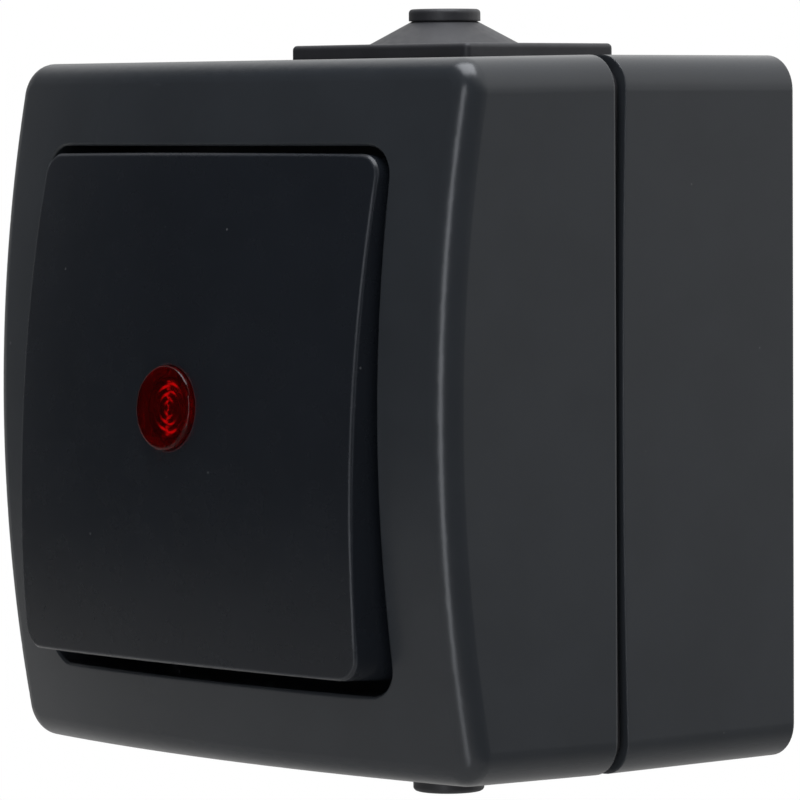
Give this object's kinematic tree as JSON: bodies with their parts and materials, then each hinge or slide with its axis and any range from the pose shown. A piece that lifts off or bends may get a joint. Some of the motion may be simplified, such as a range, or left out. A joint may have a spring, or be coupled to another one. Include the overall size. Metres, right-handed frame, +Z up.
{
  "type": "outdoor weatherproof rocker switch",
  "caption": "Square surface-mounted weatherproof light switch with a bowed cover, a rocker with a round red pilot lens, and sealed cable entries.",
  "frame": {"origin": "centre of the flat back face, on the wall", "axes": "+Y into the wall, so the rocker faces -Y; +Z up; +X to the right seen from the front"},
  "size_m": [0.066, 0.0497, 0.0754],
  "materials": {
    "anthracite_plastic": "satin moulded, fine grain",
    "rocker_plastic": "satin moulded, fine grain",
    "red_lens": "clear red, ringed back",
    "black_rubber": "matt",
    "zinc_steel": "zinc plated",
    "spring_steel": "bright drawn wire",
    "insulator": "matt moulded",
    "cradle_plastic": "matt moulded",
    "brass": "plain",
    "contact_silver": "silver alloy",
    "lamp_glass": "clear"
  },
  "bodies": {
    "housing": {"rear_box": "anthracite_plastic", "front_cover": "anthracite_plastic", "housing_seal": "black_rubber", "top_cable_grommet": "black_rubber", "bottom_cable_grommet": "black_rubber", "cover_screws": "zinc_steel", "cover_screw_seals": "black_rubber", "support_plate": "zinc_steel", "plate_screws": "zinc_steel", "switch_base": "insulator", "switch_back": "insulator", "insert_seal": "black_rubber", "common_strip": "brass", "upper_contact_strip": "brass", "lower_contact_strip": "brass", "neutral_strip": "brass", "fixed_contact_tips": "contact_silver", "terminal_blocks": "brass", "terminal_screws": "zinc_steel", "lamp_holder": "insulator", "lamp": "lamp_glass", "lamp_leads": "zinc_steel"},
    "rocker": {"rocker": "rocker_plastic", "lens": "red_lens", "rocker_cradle": "cradle_plastic", "plunger_spring": "spring_steel"},
    "plunger": {"plunger": "cradle_plastic"},
    "contact_lever": {"contact_lever": "brass", "lever_contact_tips": "contact_silver"}
  },
  "joints": [
    {"name": "rocker_tilt", "type": "hinge", "parent": "housing", "child": "rocker", "pos_m": [0, -0.038, 0], "axis": [1, 0, 0], "range_deg": [0, 7.6]},
    {"name": "plunger_slide", "type": "slide", "parent": "rocker", "child": "plunger", "axis": [0, -0.9978, 0.0663], "range_m": [0, 0.0012], "stiffness_N_per_m": 300, "deforming": ["plunger_spring"]},
    {"name": "lever_rock", "type": "hinge", "parent": "housing", "child": "contact_lever", "pos_m": [0, -0.018, 0], "axis": [1, 0, 0], "range_deg": [-15.2, 0]}
  ],
  "couplings": [
    {"joint": "lever_rock", "follows": "rocker_tilt", "ratio": -2}
  ]
}
